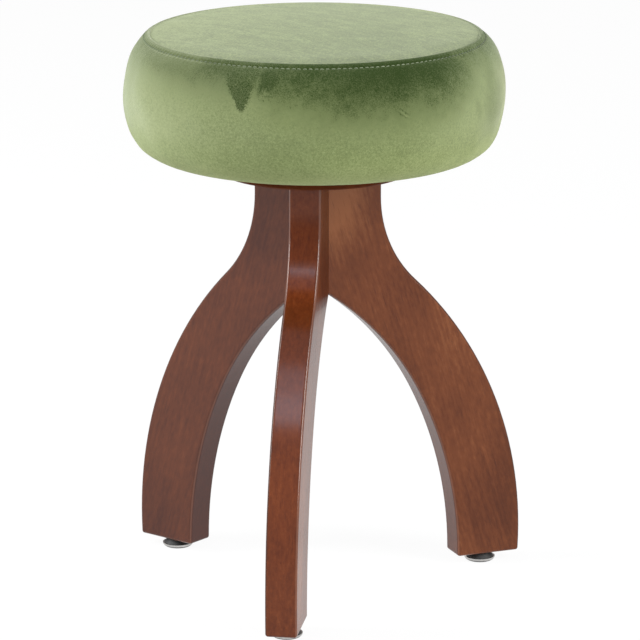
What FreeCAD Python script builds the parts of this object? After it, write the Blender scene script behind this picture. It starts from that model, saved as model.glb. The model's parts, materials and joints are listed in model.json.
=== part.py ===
"""Vanity stool: a round swivel cushion on three curved legs, in millimetres.

The origin is on the swivel axis at floor level, +Z is up and the front leg points along -Y.
"""
import FreeCAD
import Part
import Sketcher
import math
import os

# Driving dimensions, in millimetres unless the name says otherwise
SIZES = {
    # legs, heights measured from the underside of the boards
    "leg_height": 351.0,
    "leg_thick": 26.5,
    "foot_reach": 185.6,
    "foot_length": 57.4,
    "foot_bow_height": 20.2,
    "neck_reach": 55.5,
    "neck_sweep_radius": 103.0,
    "neck_straight": 25.2,
    "crotch_depth": 101.1,
    "arch_bow": 36.4,
    "leg_edge_round": 2.5,
    # dowels across the mitres, heights measured down from the leg heads
    "dowel_diameter": 8.0,
    "dowel_length": 24.0,
    "dowel_drop": 82.0,
    "dowel_stagger": 13.0,
    "dowel_rise": 40.0,
    # floor glides
    "glide_height": 8.5,
    "glide_inset": 31.6,
    "glide_base_radius": 13.2,
    "glide_flat_radius": 9.0,
    "glide_base_thick": 3.6,
    "glide_rim_thick": 1.2,
    "glide_rubber_foot": 12.0,
    "glide_rubber_head": 8.2,
    "nail_diameter": 2.6,
    "nail_length": 24.0,
    "nail_head_radius": 3.4,
    "nail_head_thick": 1.0,
    # cap plate on the leg heads
    "cap_radius": 80.5,
    "cap_thick": 8.5,
    "cap_bevel": 1.2,
    "cap_screw_inset": 13.5,
    "cap_screw_spacing": 18.0,
    "cap_screw_diameter": 4.2,
    "cap_screw_head": 8.0,
    "cap_screw_length": 35.0,
    # swivel bearing
    "plate_width": 100.0,
    "plate_thick": 1.6,
    "plate_corner_round": 10.0,
    "plate_screw_inset": 9.0,
    "plate_screw_diameter": 3.8,
    "plate_screw_head": 8.0,
    "plate_screw_head_thick": 1.8,
    "lower_screw_length": 8.0,
    "upper_screw_length": 13.0,
    "race_radius": 36.0,
    "race_depth": 0.55,
    "ball_diameter": 5.5,
    "cage_width": 9.0,
    "cage_thick": 1.0,
    "eyelet_radius": 11.9,
    "eyelet_wall": 1.4,
    "eyelet_flange_radius": 15.5,
    "eyelet_flange_thick": 1.0,
    # seat base
    "board_inset": 35.2,
    "board_thick": 15.0,
    "dust_thick": 0.6,
    "dust_lap": 10.0,
    "staple_crown": 10.0,
    "staple_wire": 1.2,
    "staple_gauge": 0.6,
    "staple_bite": 6.0,
    # cushion
    "seat_radius": 159.2,
    "bulge_radius": 93.8,
    "roll_radius": 32.7,
    "roll_drop": 2.2,
    "widest_rise": 51.2,
    "high_roll_rise": 21.0,
    "seam_inset": 22.5,
    "crown_rise": 7.3,
    "cover_thick": 1.6,
    "lap_width": 8.0,
    "roll_tuck": 7.3,
    "tuck_run": 8.5,
    "flange_width": 12.0,
    # clearances
    "shank_clear": 0.1,
    "running_clear": 0.08,
    "ball_clear": 0.2,
    "rivet_clear": 0.05,
    "cage_clear": 0.2,
    "eyelet_end_clear": 0.2,
    "cap_bore_clear": 1.5,
    "eyelet_pocket_clear": 2.0,
    "cloth_clear": 0.2,
    "board_edge_clear": 0.4,
}

LEG_TURNS = {"front": -90.0, "right": 30.0, "left": 150.0}
MITRE_TURN = 60.0
PLATE_SCREW_TURN = 45.0
PLATE_SCREW_COUNT = 4
BALL_COUNT = 8
STAPLE_COUNT = 16

# How near two lengths count as the same
SAME_LENGTH = 0.01

doc = FreeCAD.newDocument("vanity_stool")
sheet = doc.addObject("Spreadsheet::Sheet", "Sizes")


class Size:
    """A length that carries its number and the sheet formula that it is bound by."""

    def __init__(self, number, formula):
        self.number = number
        self.formula = formula

    def join(self, sign, other, swapped=False):
        other = as_size(other)
        first, second = (other, self) if swapped else (self, other)
        results = {
            "+": lambda a, b: a + b,
            "-": lambda a, b: a - b,
            "*": lambda a, b: a * b,
            "/": lambda a, b: a / b,
        }
        number = results[sign](first.number, second.number)
        return Size(number, "(%s %s %s)" % (first.formula, sign, second.formula))

    def __add__(self, other):
        return self.join("+", other)

    def __radd__(self, other):
        return self.join("+", other, swapped=True)

    def __sub__(self, other):
        return self.join("-", other)

    def __rsub__(self, other):
        return self.join("-", other, swapped=True)

    def __mul__(self, other):
        return self.join("*", other)

    def __rmul__(self, other):
        return self.join("*", other, swapped=True)

    def __truediv__(self, other):
        return self.join("/", other)

    def __neg__(self):
        return 0 - self


def as_size(value):
    if isinstance(value, Size):
        return value
    return Size(float(value), repr(float(value)))


def root(square):
    return Size(math.sqrt(square.number), "sqrt(%s)" % square.formula)


def other_side(longest, side):
    """The third side of a right triangle."""
    return root(longest * longest - side * side)


class Sheet:
    """Each driving dimension of the sheet as a named size."""

    def __init__(self):
        for row, (name, number) in enumerate(SIZES.items(), 1):
            sheet.set("A%d" % row, name)
            sheet.set("B%d" % row, repr(number))
            sheet.setAlias("B%d" % row, name)
            setattr(self, name, Size(number, "Sizes." + name))


dim = Sheet()
doc.recompute()

# Levels, from the floor up; the balls keep the swivel plates apart
leg_bottom = dim.glide_height
leg_top = leg_bottom + dim.leg_height
cap_top = leg_top + dim.cap_thick
swivel_height = dim.ball_diameter + 2 * (dim.plate_thick - dim.race_depth + dim.ball_clear)
swivel_top = cap_top + swivel_height
race_level = cap_top + swivel_height / 2
lower_plate_top = cap_top + dim.plate_thick
upper_plate_bottom = swivel_top - dim.plate_thick
board_bottom = swivel_top + dim.dust_thick
board_top = board_bottom + dim.board_thick
cushion_bottom = board_bottom - dim.roll_drop
widest_level = cushion_bottom + dim.widest_rise

# Distances from the swivel axis that several pieces share
instep_reach = dim.foot_reach - dim.foot_length
glide_reach = dim.foot_reach - dim.glide_inset
cap_screw_reach = dim.neck_reach - dim.cap_screw_inset
plate_screw_reach = (dim.plate_width / 2 - dim.plate_screw_inset) * math.sqrt(2)
pocket_radius = dim.eyelet_flange_radius + dim.eyelet_pocket_clear
board_radius = dim.seat_radius - dim.board_inset
seam_reach = dim.seat_radius - dim.seam_inset


def bind(target, name, size):
    size = as_size(size)
    setattr(target, name, size.number)
    target.setExpression(name, size.formula)


def new_body(label, turn=0.0):
    """A sub-part, turned about the swivel axis to where it belongs."""
    body = doc.addObject("PartDesign::Body", label)
    body.Label = label
    body.Placement = FreeCAD.Placement(FreeCAD.Vector(), FreeCAD.Rotation(FreeCAD.Vector(0, 0, 1), turn))
    return body


def origin_feature(body, role):
    return next(feature for feature in body.Origin.OriginFeatures if feature.Role == role)


def upright_sketch(body, name, turn=0.0):
    """A sketch in the plane of the swivel axis and local X, turned about the axis."""
    sketch = body.newObject("Sketcher::SketchObject", name)
    sketch.AttachmentSupport = [(origin_feature(body, "XZ_Plane"), "")]
    sketch.MapMode = "FlatFace"
    sketch.AttachmentOffset = FreeCAD.Placement(
        FreeCAD.Vector(), FreeCAD.Rotation(FreeCAD.Vector(0, 1, 0), turn))
    return sketch


def level_sketch(body, name, level):
    """A horizontal sketch at a level above the floor."""
    sketch = body.newObject("Sketcher::SketchObject", name)
    sketch.AttachmentSupport = [(origin_feature(body, "XY_Plane"), "")]
    sketch.MapMode = "FlatFace"
    sketch.AttachmentOffset = FreeCAD.Placement(FreeCAD.Vector(0, 0, level.number), FreeCAD.Rotation())
    sketch.setExpression("AttachmentOffset.Base.z", level.formula)
    return sketch


def hold(sketch, kind, where, size):
    """Add a driving constraint that is bound to its formula."""
    index = sketch.addConstraint(Sketcher.Constraint(kind, *where, size.number))
    sketch.setExpression("Constraints[%d]" % index, size.formula)


def hold_point(sketch, where, x, y):
    for kind, axis, size in (("DistanceX", -2, as_size(x)), ("DistanceY", -1, as_size(y))):
        if size.number == 0.0:
            sketch.addConstraint(Sketcher.Constraint("PointOnObject", *where, axis))
        else:
            hold(sketch, kind, where, size)


def arc_between(start, end, radius, convex):
    """The short arc from start to end; a convex one turns left on the way."""
    middle = (start + end) * 0.5
    along = (end - start).normalize()
    left = FreeCAD.Vector(-along.y, along.x, 0)
    half = (end - start).Length / 2
    rise = radius - math.sqrt(radius * radius - half * half)
    return Part.ArcOfCircle(start, middle - left * (rise if convex else -rise), end)


def outline(sketch, corners):
    """Draw one closed outline, anticlockwise.

    Each corner is (x, y) with a straight side to the next one, or (x, y, radius, "convex" or "concave")
    with an arc to it.
    """
    points = [FreeCAD.Vector(as_size(c[0]).number, as_size(c[1]).number, 0) for c in corners]
    starts, ends = [], []
    for i, corner in enumerate(corners):
        start, end = points[i], points[(i + 1) % len(points)]
        if len(corner) == 2:
            side = sketch.addGeometry(Part.LineSegment(start, end), False)
            starts.append((side, 1))
            ends.append((side, 2))
            continue
        radius, bend = corner[2], corner[3]
        side = sketch.addGeometry(arc_between(start, end, radius.number, bend == "convex"), False)
        first = 1 if bend == "convex" else 2
        starts.append((side, first))
        ends.append((side, 3 - first))
        hold(sketch, "Radius", (side,), radius)
    for i, corner in enumerate(corners):
        sketch.addConstraint(Sketcher.Constraint("Coincident", *ends[i - 1], *starts[i]))
        hold_point(sketch, starts[i], corner[0], corner[1])


def circle(sketch, x, y, radius):
    x, y = as_size(x), as_size(y)
    ring = Part.Circle(FreeCAD.Vector(x.number, y.number, 0), FreeCAD.Vector(0, 0, 1), radius.number)
    side = sketch.addGeometry(ring, False)
    hold(sketch, "Radius", (side,), radius)
    hold_point(sketch, (side, 3), x, y)


def upright_axis(sketch, x):
    """A construction line to turn an outline about, at a distance from the swivel axis."""
    low, high = FreeCAD.Vector(x.number, 0, 0), FreeCAD.Vector(x.number, 1, 0)
    line = sketch.addGeometry(Part.LineSegment(low, high), True)
    hold_point(sketch, (line, 1), x, 0)
    hold_point(sketch, (line, 2), x, 1)


def feature(body, kind, name, sketch):
    made = body.newObject("PartDesign::" + kind, name)
    made.Profile = sketch
    return made


def pad(body, sketch, length, name="Pad", both_ways=False):
    made = feature(body, "Pad", name, sketch)
    made.SideType = "Symmetric" if both_ways else "One side"
    bind(made, "Length", length)
    return made


def pocket(body, sketch, depth, name="Pocket", upwards=False, both_ways=False):
    made = feature(body, "Pocket", name, sketch)
    made.SideType = "Symmetric" if both_ways else "One side"
    made.Reversed = upwards
    bind(made, "Length", depth)
    return made


def turned(body, sketch, name="Turned", cut=False, axis="V_Axis"):
    made = feature(body, "Groove" if cut else "Revolution", name, sketch)
    made.ReferenceAxis = (sketch, [axis])
    made.Angle = 360
    return made


def around(body, originals, count, name="Around"):
    """Repeat features evenly about the swivel axis."""
    made = body.newObject("PartDesign::PolarPattern", name)
    made.Originals = originals
    made.Axis = (origin_feature(body, "Z_Axis"), [""])
    made.Angle = 360
    made.Occurrences = count
    body.Tip = made
    return made


# Fasteners: one outline serves the fastener and, grown by a clearance, its hole
def countersunk_outline(sketch, x, top, grow=0.0):
    shank = dim.cap_screw_diameter / 2 + grow
    head = dim.cap_screw_head / 2 + grow
    tip = top - dim.cap_screw_length - grow
    outline(sketch, [
        (x, tip),
        (x + shank, tip + dim.cap_screw_diameter),
        (x + shank, top - (head - shank)),
        (x + head, top),
        (x, top),
    ])
    upright_axis(sketch, x)


def pan_outline(sketch, x, seat, length, upwards, grow=0.0):
    """A round-headed screw whose head bears on the level seat."""
    way = 1 if upwards else -1
    shank = dim.plate_screw_diameter / 2 + grow
    head = dim.plate_screw_head / 2 + grow
    top = seat - way * dim.plate_screw_head_thick
    tip = seat + way * (length + grow)
    corners = [
        (x, top),
        (x + head * 0.7, top),
        (x + head, top + way * dim.plate_screw_head_thick / 2),
        (x + head, seat),
        (x + shank, seat),
        (x + shank, tip - way * dim.plate_screw_diameter),
        (x, tip),
    ]
    outline(sketch, corners if upwards else corners[::-1])
    upright_axis(sketch, x)


def nail_outline(sketch, x, grow=0.0):
    shank = dim.nail_diameter / 2 + grow
    head = dim.nail_head_radius + grow
    seat = dim.glide_base_thick
    under = seat + dim.nail_head_thick + grow
    tip = seat + dim.nail_length + grow
    outline(sketch, [
        (x, seat),
        (x + head, seat),
        (x + head, under),
        (x + shank, under),
        (x + shank, tip - dim.nail_diameter),
        (x, tip),
    ])
    upright_axis(sketch, x)


def drill(body, draw, name):
    """Cut one fastener's hole, drawn by its own outline."""
    sketch = upright_sketch(body, name + "_outline")
    draw(sketch)
    return turned(body, sketch, name, cut=True, axis="Axis0")


def make_fasteners(label, drawings, count, turn):
    """A group of like fasteners, evenly about the swivel axis."""
    body = new_body(label, turn)
    originals = []
    for number, draw in enumerate(drawings):
        sketch = upright_sketch(body, "outline_%d" % number)
        draw(sketch)
        originals.append(turned(body, sketch, "shank_%d" % number, axis="Axis0"))
    if count > 1:
        around(body, originals, count)


def cap_screw_drawings(grow=0.0):
    reaches = (cap_screw_reach - dim.cap_screw_spacing, cap_screw_reach)
    return [lambda s, x=x: countersunk_outline(s, x, cap_top, grow) for x in reaches]


def lower_screw_drawing(grow=0.0):
    seat = lower_plate_top
    return lambda s: pan_outline(s, plate_screw_reach, seat, dim.lower_screw_length, False, grow)


def upper_screw_drawing(grow=0.0):
    seat = upper_plate_bottom
    return lambda s: pan_outline(s, plate_screw_reach, seat, dim.upper_screw_length, True, grow)


def nail_drawing(grow=0.0):
    return lambda s: nail_outline(s, glide_reach, grow)


# Legs
def outer_edge():
    """A bow from the toe, as large as lets it run smoothly into the neck's sweep."""
    sweep = dim.neck_sweep_radius
    sweep_x = dim.neck_reach + sweep
    sweep_z = leg_top - dim.neck_straight
    bow_z = leg_bottom + dim.foot_bow_height
    lead = sweep_x - dim.foot_reach
    rise = sweep_z - bow_z
    bow = (lead * lead + rise * rise - sweep * sweep) / (2 * (sweep - lead))
    bow_x = dim.foot_reach - bow
    share = bow / (bow + sweep)
    return [
        (bow_x + other_side(bow, dim.foot_bow_height), leg_bottom, bow, "convex"),
        (bow_x + (sweep_x - bow_x) * share, bow_z + rise * share, sweep, "concave"),
        (dim.neck_reach, sweep_z),
    ]


def inner_edge():
    """Half of the arch: two arcs that meet level with the line from the crotch to the upright instep."""
    crotch = dim.leg_height - dim.crotch_depth
    span = root(instep_reach * instep_reach + crotch * crotch)
    bow = dim.arch_bow
    low = bow * instep_reach / (span - crotch)
    high = span - low
    low_share, bow_share = low / span, bow / span
    meeting = (
        instep_reach - instep_reach * low_share + crotch * bow_share,
        leg_bottom + crotch * low_share + instep_reach * bow_share,
    )
    return [
        (0, leg_bottom + crotch, (high * high + bow * bow) / (2 * bow), "concave"),
        (*meeting, (low * low + bow * bow) / (2 * bow), "concave"),
    ]


def leg_outline(sketch):
    """Side view of a leg board, from the instep round the toe and the head to the arch."""
    outline(sketch, [
        (instep_reach, leg_bottom),
        *outer_edge(),
        (dim.neck_reach, leg_top),
        (0, leg_top),
        *inner_edge(),
    ])


def mitre_outline(sketch):
    """What lies past the two mitre planes, as a triangle on each side."""
    half = dim.leg_thick
    lead = half / math.tan(math.radians(MITRE_TURN))
    outline(sketch, [(0, 0), (lead, half), (0, half)])
    outline(sketch, [(0, 0), (0, -half), (lead, -half)])


def dowel_circles(sketch, mitre, grow=0.0):
    """Both dowels of one mitre, on the mitre plane; each mitre has its own heights."""
    middle = dim.leg_thick / (4 * math.sin(math.radians(MITRE_TURN)))
    low = leg_top - dim.dowel_drop + dim.dowel_stagger * mitre
    for height in (low, low + dim.dowel_rise):
        circle(sketch, middle, height, dim.dowel_diameter / 2 + grow)


def rounded_leg_edges(shape):
    """The long edges of both faces, the foot's edges included; the head and the mitres stay sharp."""
    half = dim.leg_thick.number / 2
    corner = half / math.tan(math.radians(MITRE_TURN))
    names = []
    for number, edge in enumerate(shape.Edges, 1):
        box = edge.BoundBox
        on_face = box.YLength < SAME_LENGTH and half - abs(box.YMin) < SAME_LENGTH
        at_toe = box.ZMax < leg_bottom.number + SAME_LENGTH
        at_head = box.ZMin > leg_top.number - SAME_LENGTH
        at_mitre = box.XMax < corner + SAME_LENGTH
        if (on_face or at_toe) and not at_head and not at_mitre:
            names.append("Edge%d" % number)
    return names


def make_leg(side, mitres):
    """A leg board along local X; mitres names its dowel pairs, towards -60 and +60 degrees."""
    body = new_body("leg_" + side, LEG_TURNS[side])
    board_sketch = upright_sketch(body, "board_outline")
    leg_outline(board_sketch)
    pad(body, board_sketch, dim.leg_thick, "board", both_ways=True)

    mitre_sketch = level_sketch(body, "mitre_outline", leg_bottom)
    mitre_outline(mitre_sketch)
    cut = pocket(body, mitre_sketch, dim.leg_height, "mitres", upwards=True)
    doc.recompute()

    rounding = body.newObject("PartDesign::Fillet", "rounded_edges")
    rounding.Base = (cut, rounded_leg_edges(cut.Shape))
    bind(rounding, "Radius", dim.leg_edge_round)

    for mitre, turn in zip(mitres, (-MITRE_TURN, MITRE_TURN)):
        sketch = upright_sketch(body, "dowel_circles_%d" % mitre, turn)
        dowel_circles(sketch, mitre, dim.shank_clear)
        depth = dim.dowel_length + 2 * dim.shank_clear
        pocket(body, sketch, depth, "dowel_holes_%d" % mitre, both_ways=True)
    for number, draw in enumerate(cap_screw_drawings(dim.shank_clear)):
        drill(body, draw, "cap_screw_hole_%d" % number)
    drill(body, nail_drawing(dim.shank_clear), "nail_hole")


def make_dowels():
    body = new_body("leg_dowels", LEG_TURNS["front"])
    for mitre in range(len(LEG_TURNS)):
        sketch = upright_sketch(body, "circles_%d" % mitre, MITRE_TURN * (2 * mitre + 1))
        dowel_circles(sketch, mitre)
        pad(body, sketch, dim.dowel_length, "dowels_%d" % mitre, both_ways=True)


# Floor glides
def make_glide(side):
    turn = LEG_TURNS[side]
    x = glide_reach
    thick = dim.glide_base_thick

    base = new_body("glide_base_" + side, turn)
    sketch = upright_sketch(base, "outline")
    rim = thick - dim.glide_rim_thick
    run = dim.glide_base_radius - dim.glide_flat_radius
    bend = (run * run + rim * rim) / (2 * rim)
    outline(sketch, [
        (x, 0),
        (x + dim.glide_flat_radius, 0, bend, "convex"),
        (x + dim.glide_base_radius, rim),
        (x + dim.glide_base_radius, thick),
        (x, thick),
    ])
    upright_axis(sketch, x)
    turned(base, sketch, axis="Axis0")

    rubber = new_body("glide_cushion_" + side, turn)
    sketch = upright_sketch(rubber, "outline")
    shank = dim.nail_diameter / 2 + dim.shank_clear
    head = dim.nail_head_radius + dim.shank_clear
    head_top = thick + dim.nail_head_thick + dim.shank_clear
    outline(sketch, [
        (x + head, thick),
        (x + dim.glide_rubber_foot, thick),
        (x + dim.glide_rubber_head, leg_bottom),
        (x + shank, leg_bottom),
        (x + shank, head_top),
        (x + head, head_top),
    ])
    upright_axis(sketch, x)
    turned(rubber, sketch, axis="Axis0")

    make_fasteners("glide_nail_" + side, [nail_drawing()], 1, turn)


# Cap plate
def make_cap():
    body = new_body("leg_cap", LEG_TURNS["front"])
    sketch = upright_sketch(body, "outline")
    bevel = dim.cap_bevel
    bore = dim.eyelet_flange_radius + dim.cap_bore_clear
    outline(sketch, [
        (bore, leg_top),
        (dim.cap_radius - bevel, leg_top),
        (dim.cap_radius, leg_top + bevel),
        (dim.cap_radius, cap_top - bevel),
        (dim.cap_radius - bevel, cap_top),
        (bore, cap_top),
    ])
    turned(body, sketch, "disc")
    holes = [drill(body, draw, "cap_screw_hole_%d" % number)
             for number, draw in enumerate(cap_screw_drawings(dim.shank_clear))]
    around(body, holes, len(LEG_TURNS), "cap_screw_holes")
    plate_holes(body, lower_screw_drawing(dim.shank_clear))


def plate_holes(body, draw):
    """The four corner screws of a swivel plate; a part that is turned takes its turn into account."""
    turn = PLATE_SCREW_TURN - math.degrees(body.Placement.Rotation.Angle) * body.Placement.Rotation.Axis.z
    sketch = upright_sketch(body, "plate_screw_outline", turn)
    draw(sketch)
    hole = turned(body, sketch, "plate_screw_hole", cut=True, axis="Axis0")
    return around(body, [hole], PLATE_SCREW_COUNT, "plate_screw_holes")


# Swivel bearing
def make_plate(label, bottom, bore_clear, draw):
    """A square plate with rounded corners, a centre bore, corner holes and a ball race."""
    body = new_body(label)
    sketch = level_sketch(body, "outline", bottom)
    half = dim.plate_width / 2
    flat = half - dim.plate_corner_round
    bend = dim.plate_corner_round
    outline(sketch, [
        (-flat, -half), (flat, -half, bend, "convex"),
        (half, -flat), (half, flat, bend, "convex"),
        (flat, half), (-flat, half, bend, "convex"),
        (-half, flat), (-half, -flat, bend, "convex"),
    ])
    circle(sketch, 0, 0, dim.eyelet_radius + bore_clear)
    pad(body, sketch, dim.plate_thick, "plate")
    plate_holes(body, draw)
    race = upright_sketch(body, "race_outline")
    circle(race, dim.race_radius, race_level, dim.ball_diameter / 2 + dim.ball_clear)
    turned(body, race, "race", cut=True)


def make_balls():
    body = new_body("swivel_balls")
    sketch = upright_sketch(body, "outline")
    ball = dim.ball_diameter / 2
    outline(sketch, [
        (dim.race_radius, race_level - ball, ball, "convex"),
        (dim.race_radius + ball, race_level, ball, "convex"),
        (dim.race_radius, race_level + ball),
    ])
    upright_axis(sketch, dim.race_radius)
    around(body, [turned(body, sketch, "ball", axis="Axis0")], BALL_COUNT)


def make_cage():
    body = new_body("swivel_ball_cage")
    sketch = level_sketch(body, "outline", race_level - dim.cage_thick / 2)
    circle(sketch, 0, 0, dim.race_radius + dim.cage_width / 2)
    circle(sketch, 0, 0, dim.race_radius - dim.cage_width / 2)
    pad(body, sketch, dim.cage_thick, "ring")
    seat = level_sketch(body, "ball_seat_outline", race_level - dim.cage_thick / 2)
    circle(seat, dim.race_radius, 0, dim.ball_diameter / 2 + dim.cage_clear)
    hole = pocket(body, seat, dim.cage_thick, "ball_seat", upwards=True)
    around(body, [hole], BALL_COUNT, "ball_seats")


def make_eyelet():
    """A hollow rivet: clinched under the lower plate, its top flange just clear of the upper plate."""
    body = new_body("swivel_eyelet")
    sketch = upright_sketch(body, "outline")
    bore = dim.eyelet_radius - dim.eyelet_wall
    under = swivel_top + dim.eyelet_end_clear
    thick = dim.eyelet_flange_thick
    outline(sketch, [
        (bore, cap_top - thick),
        (dim.eyelet_flange_radius, cap_top - thick),
        (dim.eyelet_flange_radius, cap_top),
        (dim.eyelet_radius, cap_top),
        (dim.eyelet_radius, under),
        (dim.eyelet_flange_radius, under),
        (dim.eyelet_flange_radius, under + thick),
        (bore, under + thick),
    ])
    turned(body, sketch)


# Cushion section, which the seat base takes its own sizes from
bulge_x = dim.seat_radius - dim.bulge_radius
low_roll_z = cushion_bottom + dim.roll_radius
low_roll_fall = widest_level - low_roll_z
low_roll_x = bulge_x + other_side(dim.bulge_radius - dim.roll_radius, low_roll_fall)
high_roll_z = widest_level + dim.high_roll_rise
high_roll_x = bulge_x + other_side(dim.bulge_radius - dim.roll_radius, dim.high_roll_rise)
roll_inner = low_roll_x - dim.roll_tuck
flange_outer = roll_inner - dim.tuck_run
flange_inner = flange_outer - dim.flange_width
seam_level = high_roll_z + other_side(dim.roll_radius, seam_reach - high_roll_x)
crown_radius = (seam_reach * seam_reach + dim.crown_rise * dim.crown_rise) / (2 * dim.crown_rise)
crown_z = seam_level + dim.crown_rise - crown_radius

# Seat base
dust_outer = flange_inner + dim.dust_lap
staple_reach = (flange_inner + dust_outer) / 2
crown_level = board_bottom - dim.cover_thick - dim.dust_thick - dim.staple_gauge


def staple_legs(sketch, grow=0.0):
    """Section through both legs of one staple, side by side along the edge."""
    across = dim.staple_gauge / 2 + grow
    for way in (1, -1):
        near = way * (dim.staple_crown / 2 - dim.staple_wire) - grow * way
        far = way * dim.staple_crown / 2 + grow * way
        corners = [
            (staple_reach - across, near),
            (staple_reach + across, near),
            (staple_reach + across, far),
            (staple_reach - across, far),
        ]
        outline(sketch, corners if way > 0 else corners[::-1])


def staple_holes(body):
    sketch = level_sketch(body, "staple_legs", crown_level)
    staple_legs(sketch, dim.shank_clear)
    length = board_bottom - crown_level + dim.staple_bite + dim.shank_clear
    hole = pocket(body, sketch, length, "staple_hole", upwards=True)
    around(body, [hole], STAPLE_COUNT, "staple_holes")


def make_staples():
    body = new_body("cover_staples")
    crown = level_sketch(body, "crown_outline", crown_level)
    across, half = dim.staple_gauge / 2, dim.staple_crown / 2
    outline(crown, [
        (staple_reach - across, -half),
        (staple_reach + across, -half),
        (staple_reach + across, half),
        (staple_reach - across, half),
    ])
    bridge = pad(body, crown, dim.staple_gauge, "crown")
    legs_sketch = level_sketch(body, "legs_outline", crown_level)
    staple_legs(legs_sketch)
    legs = pad(body, legs_sketch, board_bottom - crown_level + dim.staple_bite, "legs")
    around(body, [bridge, legs], STAPLE_COUNT)


def make_board():
    body = new_body("seat_board")
    sketch = level_sketch(body, "outline", board_bottom)
    circle(sketch, 0, 0, board_radius)
    pad(body, sketch, dim.board_thick, "disc")
    clearing = level_sketch(body, "eyelet_pocket_outline", board_bottom)
    circle(clearing, 0, 0, pocket_radius)
    rivet_top = swivel_top + dim.eyelet_end_clear + dim.eyelet_flange_thick
    depth = rivet_top + dim.eyelet_pocket_clear - board_bottom
    pocket(body, clearing, depth, "eyelet_pocket", upwards=True)
    plate_holes(body, upper_screw_drawing(dim.shank_clear))
    staple_holes(body)


def make_dust_cover():
    """A thin cloth on the board, stepped down over the turned-in edge of the cover."""
    body = new_body("dust_cover")
    sketch = upright_sketch(body, "outline")
    lap_top = board_bottom - dim.cover_thick
    step = flange_inner - dim.cloth_clear
    outline(sketch, [
        (pocket_radius, swivel_top),
        (step - dim.dust_thick, swivel_top),
        (step - dim.dust_thick, lap_top - dim.dust_thick),
        (dust_outer, lap_top - dim.dust_thick),
        (dust_outer, lap_top),
        (step, lap_top),
        (step, board_bottom),
        (pocket_radius, board_bottom),
    ])
    turned(body, sketch, "cloth")
    plate_holes(body, upper_screw_drawing(dim.shank_clear))
    staple_holes(body)


# Cushion: every layer follows the same section, drawn in by its own depth
def on_roll(inset, reach):
    """Height of the upper roll, drawn in by inset, at a distance from the axis."""
    return high_roll_z + other_side(dim.roll_radius - inset, reach - high_roll_x)


def side_joins(inset):
    """Where the bulged side meets the lower and the upper roll."""
    share = (dim.bulge_radius - inset) / (dim.bulge_radius - dim.roll_radius)
    low = (bulge_x + (low_roll_x - bulge_x) * share, widest_level - low_roll_fall * share)
    high = (bulge_x + (high_roll_x - bulge_x) * share, widest_level + dim.high_roll_rise * share)
    return low, high


def make_side_band():
    """The band from the seam down the bulged side, round the lower roll and under the board."""
    body = new_body("cover_side_band")
    thick = dim.cover_thick
    roll, bulge = dim.roll_radius, dim.bulge_radius
    low, high = side_joins(0)
    low_in, high_in = side_joins(thick)
    edge_share = (roll - thick) / roll
    edge_in = (high_roll_x + (seam_reach - high_roll_x) * edge_share,
               high_roll_z + (seam_level - high_roll_z) * edge_share)
    lap_bottom = board_bottom - thick
    sketch = upright_sketch(body, "outline")
    outline(sketch, [
        (flange_inner, lap_bottom),
        (flange_outer, lap_bottom),
        (roll_inner, cushion_bottom),
        (low_roll_x, cushion_bottom, roll, "convex"),
        (*low, bulge, "convex"),
        (*high, roll, "convex"),
        (seam_reach, seam_level),
        (*edge_in, roll - thick, "concave"),
        (*high_in, bulge - thick, "concave"),
        (*low_in, roll - thick, "concave"),
        (low_roll_x, cushion_bottom + thick),
        (roll_inner + thick / 2, cushion_bottom + thick),
        (flange_outer + thick / 2, board_bottom),
        (flange_inner, board_bottom),
    ])
    turned(body, sketch, "band")
    staple_holes(body)


def make_top_panel():
    """The crowned top, its edge turned down inside the band as a lapped seam."""
    body = new_body("cover_top_panel")
    thick, gap = dim.cover_thick, dim.cloth_clear
    outer, inner = thick + gap, 2 * thick + gap
    seam_turn = (seam_reach - high_roll_x) / dim.roll_radius
    seam_rise = (seam_level - high_roll_z) / dim.roll_radius
    bend_out, bend_in = dim.roll_radius - outer, dim.roll_radius - inner
    lap_share = dim.lap_width / dim.roll_radius
    reach = root(1 + lap_share * lap_share)
    lap_turn = (seam_turn + seam_rise * lap_share) / reach
    lap_rise = (seam_rise - seam_turn * lap_share) / reach
    rim = seam_reach - gap
    rim_level = crown_z + other_side(crown_radius, rim)
    fold_x = high_roll_x + seam_turn * bend_out - gap
    fold = (fold_x, on_roll(outer, fold_x))
    inside_x = high_roll_x + seam_turn * bend_in - thick
    crown_in = crown_radius - thick
    inside_level = crown_z + other_side(crown_in, inside_x)
    sketch = upright_sketch(body, "outline")
    outline(sketch, [
        (0, crown_z + crown_in, crown_in, "concave"),
        (inside_x, inside_level),
        (inside_x + thick / 2, on_roll(inner, inside_x + thick / 2), bend_in, "concave"),
        (high_roll_x + lap_turn * bend_in, high_roll_z + lap_rise * bend_in),
        (high_roll_x + lap_turn * bend_out, high_roll_z + lap_rise * bend_out, bend_out, "convex"),
        (*fold,),
        (rim, rim_level, crown_radius, "convex"),
        (0, crown_z + crown_radius),
    ])
    turned(body, sketch, "panel")


def make_foam():
    """The foam block on the board, its edges cut in flat bevels and drawn down round the board."""
    body = new_body("seat_foam")
    inset = 2 * (dim.cover_thick + dim.cloth_clear)
    edge = board_radius + dim.board_edge_clear
    roll = dim.roll_radius - inset
    bevel = roll * math.sqrt(0.5)
    low, high = side_joins(inset)
    rim = high_roll_x + (seam_reach - high_roll_x) * roll / dim.roll_radius - dim.cover_thick
    sketch = upright_sketch(body, "outline")
    outline(sketch, [
        (0, board_top),
        (edge, board_top),
        (edge, low_roll_z - other_side(roll, edge - low_roll_x)),
        (low_roll_x + bevel, low_roll_z - bevel),
        low,
        (dim.seat_radius - inset, widest_level),
        high,
        (high_roll_x + bevel, high_roll_z + bevel),
        (rim, on_roll(inset, rim)),
        (0, crown_z + crown_radius - inset),
    ])
    turned(body, sketch, "block")


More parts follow.
